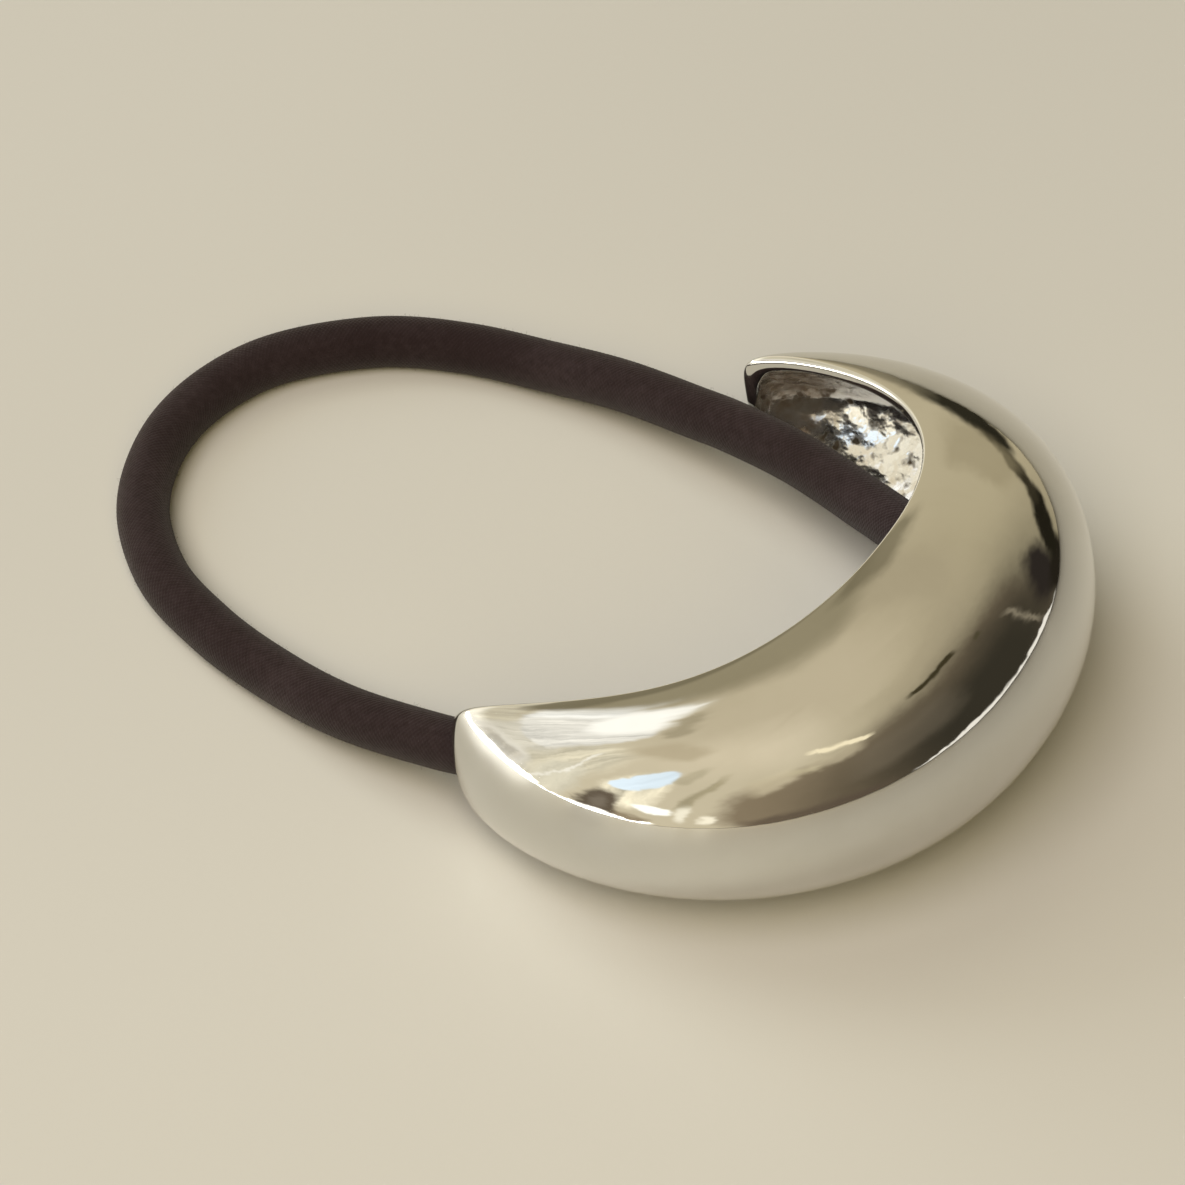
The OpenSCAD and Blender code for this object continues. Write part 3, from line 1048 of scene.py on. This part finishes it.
@dataclass(frozen=True)
class Card:
    """A plain soft-edged panel of the room, far off, placed by its direction and sized in degrees.

    Azimuth runs from +X toward +Y, and elevation from the level up. The colour is the one that the panel
    shows in the plate, and gain makes it brighter than a colour can say. Soft is the width of its edge in
    degrees, sideways and upright, and tilt turns it in its own plane. Share is how much it covers what is
    behind it, power how square its corners are, and folds how strongly it hangs in upright folds, like a
    curtain.
    """

    azimuth: float
    elevation: float
    width: float
    height: float
    colour: str
    gain: float = 1.0
    soft: tuple[float, float] = (4.0, 4.0)
    tilt: float = 0.0
    share: float = 1.0
    power: float = 5.0
    folds: float = 0.0
    fold_width: float = 5.0
    fold_height: float = 50.0

    def seen(self, azimuth: np.ndarray, elevation: np.ndarray) -> tuple[np.ndarray, np.ndarray]:
        """Find how the card covers each direction.

        Args:
            azimuth: directions from +X toward +Y, in degrees.
            elevation: directions above the level, in degrees.

        Returns:
            The share of each direction that is the card's, and the brightness of its folds there.
        """
        aside = (azimuth - self.azimuth + 180) % 360 - 180
        above = elevation - self.elevation
        c, s = math.cos(math.radians(self.tilt)), math.sin(math.radians(self.tilt))
        x, y = aside * c + above * s, above * c - aside * s
        far = np.maximum(np.hypot(x, y), SMALL)
        parts = (np.abs(x) * 2 / self.width) ** self.power, (np.abs(y) * 2 / self.height) ** self.power
        out = (parts[0] + parts[1]) ** (1 / self.power)
        soft = np.hypot(x * self.soft[0], y * self.soft[1]) / far
        edge = np.clip(0.5 + (1 / np.maximum(out, SMALL) - 1) * far / soft, 0, 1)
        mask = edge * edge * (3 - 2 * edge) * self.share
        fold = np.ones(len(mask))
        if self.folds:
            for i in np.nonzero(mask)[0]:
                at = (x[i] / self.fold_width, y[i] / self.fold_height, self.azimuth)
                fold[i] += self.folds * noise.fractal(at, 0.6, 2.3, 4)
        return mask, fold


@dataclass(frozen=True)
class Room:
    """The soft room round the table, as a glowing dome far off that only reflections see.

    Its walls run from a dim side to a bright one, with a ceiling over them, and each card lies over those
    before it. Angles are in degrees. The plate reflects only a part of the light, so the dome is brighter
    than its colours by as much. Its directions waver a little, so that no edge in the plate is ruled.
    """

    bright_wall: str = "#C9BEA4"
    dim_wall: str = "#ABA083"
    bright_side: float = -110.0
    ceiling: str = "#BBAF95"
    ceiling_from: float = 52.0
    ceiling_blend: float = 31.0
    plate_reflects: float = 0.66
    waver: float = 2.5
    waver_seed: int = 5
    # The waver's parts: how fine each is, and its share
    waver_parts: tuple[tuple[float, float], ...] = ((4, 1.0), (13, 0.4), (34, 0.3))
    radius: float = 5.0
    columns: int = 640
    # The dome's rows, closer together where the cards are: from and to which elevation, and how many
    rows: tuple[tuple[float, float, int], ...] = ((-90, -6, 5), (-5.4, 72, 130), (74, 90, 7))
    # Azimuth, elevation, width, height, colour, gain, soft, tilt, share, power and folds of each card
    cards: tuple[Card, ...] = (
        # Soft grey of the room's far side, and its darker corner
        Card(-85, 62, 70, 24, "#D5C9AF", 1.0, (50, 18), 0, 0.9, 3),
        Card(70, 56, 170, 20, "#A4997F", 1.0, (60, 18), 0, 0.8),
        # Dark screen behind the camera: a broad body, paler at its left and top, and a core
        Card(-6, 18, 126, 52, "#857761", 1.0, (10, 12), 0, 1, 4),
        Card(4, 22, 104, 52, "#6F6350", 1.0, (30, 22), 0, 0.9, 3),
        Card(22, 12, 92, 60, "#2D2A22", 1.0, (62, 44), 0, 0.95, 2.5),
        Card(-40, 2, 44, 10, "#55493E", 1.0, (14, 6), 0, 0.7, 3),
        Card(-8, 28, 40, 22, "#857A68", 1.0, (16, 10), 0, 0.25),
        Card(-58, 37, 16, 12, "#CFC3A6", 1.0, (8, 6), 30, 0.7),
        Card(-36, 43, 22, 8, "#C9BDA0", 1.0, (8, 5), 0, 0.55),
        Card(24, 0, 62, 3.6, "#E9E4DA", 1.0, (5, 1.5)),
        Card(60, 13, 14, 22, "#2A2521", 1.0, (7, 8), -25, 1, 2.5),
        Card(46, 17, 2, 26, "#A79C86", 1.0, (2, 8), 4, 0.45),
        # Thin dark edge of the table's far side, which winds on from the screen
        Card(63, 1, 16, 13, "#221E17", 1.0, (5, 4), 0, 1, 2.5),
        Card(75, 8, 22, 9, "#1F1C14", 1.0, (4, 3), 8, 1, 3),
        Card(90, 9.5, 20, 6, "#332E22", 1.0, (4, 2.5), -4, 1, 3),
        Card(104, 3.5, 16, 10, "#26231A", 1.0, (4, 3), -24, 1, 3),
        Card(114, 0, 16, 12, "#2A271D", 1.0, (5, 4), 0, 1, 2.5),
        Card(123, 1, 12, 8, "#6A6350", 1.0, (5, 4), 0, 0.8, 2.5),
        Card(103, 14, 24, 14, "#8F8468", 1.0, (8, 6), 0, 0.5),
        # Two thin strips over the screen, one cream and one dark, and a short end of each
        Card(-33, 50, 28, 3.4, "#F3E6C4", 1.0, (6, 2.5), -16),
        Card(-47, 40, 12, 4, "#D8CDAA", 1.0, (6, 3), -10, 0.4),
        Card(17, 49.5, 25, 3.6, "#3A3422", 1.0, (5, 2), -13),
        Card(38, 39, 4, 3, "#4A4432", 1.0, (2, 2)),
        # Curtained window on the left, with the wall under it and the curtain beside it
        Card(-150, 24, 56, 60, "#D2CAB3", 1.0, (10, 14), 0, 1, 5, 0.35),
        Card(-164, 22, 36, 30, "#D6D1C3", 1.0, (10, 12), 0, 0.85, 5, 0.3),
        Card(-170, 46, 46, 31, "#E4E1D8", 1.0, (4, 3), 0, 1, 5, 0.45),
        Card(-176, 4, 30, 16, "#FFFDF4", 1.2, (8, 6), 0, 1, 3),
        Card(-128, 17, 15, 32, "#D9D3BF", 1.0, (6, 8), 10, 0.8, 4, 0.2),
        Card(-175, 56, 30, 12, "#FDFBF3", 1.05, (10, 3), 0, 1, 3),
        Card(-121, 61, 32, 9, "#B5A88C", 1.0, (10, 4), 0, 0.7),
        Card(-131.5, 36.5, 1.5, 25, "#F8F4E8", 1.0, (1.2, 5), 23, 0.7),
        Card(-130, 15, 1.4, 26, "#F8F4E8", 1.0, (1.2, 5), -15, 0.6),
        Card(168, 42, 16, 18, "#F0EFE9", 1.1, (7, 6), 0, 1, 5, 0.3),
        Card(-163, 65, 34, 3.8, "#948A70", 1.0, (8, 1.6), 0, 0.65, 3),
        # Second window, and the dark chair before it
        Card(-104, 28, 19, 34, "#EFE6CC", 1.0, (7, 8), 8, 1, 3, 0.4),
        Card(-82, 14, 4, 16, "#F4EDD8", 1.0, (3, 6), 10, 1, 3),
        Card(-105, 39, 14, 24, "#D9E8F4", 1.1, (1.5, 1.8), -26, 1, 2, 0.1),
        Card(-92, 14.5, 13, 6.5, "#FFFFF6", 1.2, (3, 2), -10, 1, 2.5),
        Card(-98, 3, 14, 6, "#8F8068", 1.0, (5, 3), 0, 0.9, 3),
        Card(-109, 9, 13, 28, "#63584A", 1.0, (3, 6), 6, 1, 2.5),
        Card(-109.5, 10, 6, 13, "#857B6D", 1.0, (3, 6), 6, 0.6, 2.5),
        Card(-81, 33, 5, 28, "#8E8463", 1.0, (3, 8), -14, 0.6, 5, 0.3),
        Card(-93, 47, 7, 12, "#A39A7E", 1.0, (3, 4), -20, 0.5, 4, 0.2),
        Card(-72, 9, 4, 9, "#F6EED8", 1.1, (2.5, 4), 0, 0.9, 3),
        # Low bright wall to the left and behind, the dim one over it, and light along the table's edge
        Card(146, 8, 24, 18, "#E4DCC6", 1.0, (10, 10)),
        Card(163, 19, 44, 22, "#CBC3AD", 1.0, (8, 6), 0, 1, 4, 0.35),
        Card(147, 49, 36, 38, "#8B8269", 1.0, (16, 18), 0, 0.9, 3),
        Card(152, 33, 24, 16, "#746C56", 1.0, (8, 5), 0, 0.9, 3),
        Card(129, 42, 20, 20, "#6E6650", 1.0, (8, 8), 0, 0.75),
        Card(173, 9, 32, 14, "#FBF6E6", 1.1, (12, 8), 0, 1, 4, 0.2),
        Card(-110, 0, 40, 3, "#FFFDF4", 4.0, (6, 2)),
        Card(-155, 9, 34, 22, "#E2DDD0", 1.0, (9, 8), 0, 1, 3),
        Card(-164, 5, 40, 11, "#FBF7EC", 1.0, (10, 6), 0, 1, 3),
        Card(-153, 11, 20, 10, "#ABA496", 1.0, (7, 4), 0, 0.65, 6, 0.6),
        Card(-160, 1.5, 56, 5, "#FFFDF4", 12.0, (10, 3)),
    )

    def light(self, ray: np.ndarray) -> np.ndarray:
        """Find the light that comes from each direction.

        Args:
            ray: unit directions, one a row.

        Returns:
            Linear red, green and blue, one row for each direction.
        """
        # Without a seed the noise's vectors change from run to run
        noise.seed_set(self.waver_seed)
        waver = self.waver * sum(share * np.array([noise.noise_vector(Vector(r) * fine) for r in ray])
                                 for fine, share in self.waver_parts)
        azimuth = np.degrees(np.arctan2(ray[:, 1], ray[:, 0])) + waver[:, 0]
        elevation = np.degrees(np.arcsin(np.clip(ray[:, 2], -1, 1))) + waver[:, 1]
        bright = (0.5 + 0.5 * np.cos(np.radians(azimuth - self.bright_side)))[:, None]
        over = np.clip((elevation - self.ceiling_from) / self.ceiling_blend, 0, 1)[:, None]
        dim_wall, bright_wall, ceiling = (np.array(linear(paint)[:3])
                                          for paint in (self.dim_wall, self.bright_wall, self.ceiling))
        colour = (dim_wall + (bright_wall - dim_wall) * bright) * (1 - over) + ceiling * over
        for card in self.cards:
            mask, fold = card.seen(azimuth, elevation)
            shown = np.array(linear(card.colour)[:3]) * card.gain * fold[:, None]
            colour += (shown - colour) * mask[:, None]
        return colour / self.plate_reflects

    def build(self) -> bpy.types.Object:
        """Build the dome, closed at its poles, with its light as a colour at each point.

        Returns:
            The dome, which faces inward.
        """
        rise = np.radians(np.concatenate([np.linspace(*rows) for rows in self.rows]))[1:-1]
        turn, rise = np.meshgrid(np.arange(self.columns) * FULL_TURN / self.columns, rise)
        ray = np.stack([np.cos(turn) * np.cos(rise), np.sin(turn) * np.cos(rise), np.sin(rise)], -1)
        n, rows = self.columns, len(ray)
        ray = np.concatenate([ray.reshape(-1, 3), [(0, 0, -1), (0, 0, 1)]])
        bottom, top, last_row = len(ray) - 2, len(ray) - 1, (rows - 1) * n
        faces = [face[::-1] for face in tube_faces(rows, n)]
        faces += [(j, (j + 1) % n, bottom) for j in range(n)]
        faces += [(last_row + (j + 1) % n, last_row + j, top) for j in range(n)]
        mesh = bpy.data.meshes.new("room")
        mesh.from_pydata((ray * self.radius).tolist(), [], faces)
        glow = mesh.attributes.new("light", "FLOAT_COLOR", "POINT")
        glow.data.foreach_set("color", np.concatenate([self.light(ray), np.ones((len(ray), 1))], 1).ravel())
        dome = new_object("room", mesh, [self.glow_material()])
        dome.visible_camera = dome.visible_diffuse = False
        return dome

    @staticmethod
    def glow_material() -> bpy.types.Material:
        """Make a material that glows in the colour of each point.

        Returns:
            The material, which no lamp sampling looks for.
        """
        material = bpy.data.materials.new("room light")
        material.use_nodes = True
        material.cycles.emission_sampling = "NONE"
        tree = material.node_tree
        tree.nodes.clear()
        colour = put(tree, "ShaderNodeAttribute", attribute_name="light")
        emission = put(tree, "ShaderNodeEmission", {"Color": colour.outputs["Color"]})
        put(tree, "ShaderNodeOutputMaterial", {"Surface": emission.outputs[0]})
        return material


@dataclass(frozen=True)
class Lamp:
    """One large soft light, round and turned to the cuff, by its direction in degrees, watts and colour."""

    name: str
    azimuth: float
    elevation: float
    power: float
    colour: str
    distance: float = 1.4
    size: float = 1.0

    def hang(self) -> None:
        """Add the light, which shades the table but isn't seen in the metal."""
        light = bpy.data.lights.new(self.name, "AREA")
        light.shape = "DISK"
        light.size = self.size
        light.energy = self.power
        light.color = linear(self.colour)[:3]
        lamp = bpy.data.objects.new(self.name, light)
        turn, rise = math.radians(self.azimuth), math.radians(self.elevation)
        toward = Vector((math.cos(turn) * math.cos(rise), math.sin(turn) * math.cos(rise), math.sin(rise)))
        lamp.location = toward * self.distance
        lamp.rotation_euler = (-toward).to_track_quat("-Z", "Y").to_euler()
        lamp.visible_glossy = False
        bpy.context.scene.collection.objects.link(lamp)


@dataclass(frozen=True)
class Studio:
    """The plain table, the soft room light and the camera, whose lens and sensor are in millimetres."""

    camera_at: tuple[float, float, float] = (0.1277, -0.2554, 0.3108)
    camera_target: tuple[float, float, float] = (-0.0235, 0.0038, 0.0)
    lens: float = 157.9
    sensor: float = 36.0
    nearest: float = 0.01
    backdrop: str = "#D1C9B6"
    table_half: float = 5.0
    lamps: tuple[Lamp, ...] = (
        Lamp("key", -90, 60, 11.5, "#FFF5EA"),
        Lamp("warm fill", -60, 45, 8.7, "#FFE9AD"),
        Lamp("side", 180, 30, 5.6, "#F7FFFB"),
        Lamp("side fill", 180, 60, 4.7, "#FFFBE3"),
    )

    def build_world(self) -> None:
        """Set the plain pale colour that shows past the table's far edge."""
        world = bpy.data.worlds.new("studio")
        bpy.context.scene.world = world
        world.use_nodes = True
        world.node_tree.nodes["Background"].inputs["Color"].default_value = linear(self.backdrop)
        world.cycles_visibility.diffuse = False

    def build_table(self) -> None:
        """Lay the plain table under the cuff."""
        h = self.table_half
        mesh = bpy.data.meshes.new("table")
        mesh.from_pydata([(-h, -h, 0), (h, -h, 0), (h, h, 0), (-h, h, 0)], [], [(0, 1, 2, 3)])
        new_object("table", mesh, [PaleTable().make()])

    def build_camera(self) -> None:
        """Set the camera where the photograph was taken from."""
        lens = bpy.data.cameras.new("camera")
        lens.lens = self.lens
        lens.sensor_width = self.sensor
        lens.clip_start = self.nearest
        camera = bpy.data.objects.new("camera", lens)
        camera.location = self.camera_at
        aim = Vector(self.camera_target) - Vector(self.camera_at)
        camera.rotation_euler = aim.to_track_quat("-Z", "Y").to_euler()
        bpy.context.scene.collection.objects.link(camera)
        bpy.context.scene.camera = camera

    def build(self) -> None:
        """Build the studio, and show its colours as they are."""
        self.build_camera()
        self.build_world()
        Room().build()
        self.build_table()
        for lamp in self.lamps:
            lamp.hang()
        bpy.context.scene.view_settings.view_transform = "Standard"


def main() -> None:
    """Build the studio, the elastic and the shell, and report each piece."""
    logging.basicConfig(level=logging.INFO, format="%(name)s: %(message)s")
    Studio().build()
    elastic = ElasticLoop()
    pieces = elastic.build()
    pieces.append(CuffShell().build(elastic))
    for piece in pieces:
        LOG.info("%s: %d faces", piece.name, len(piece.data.polygons))


if __name__ == "__main__":
    main()
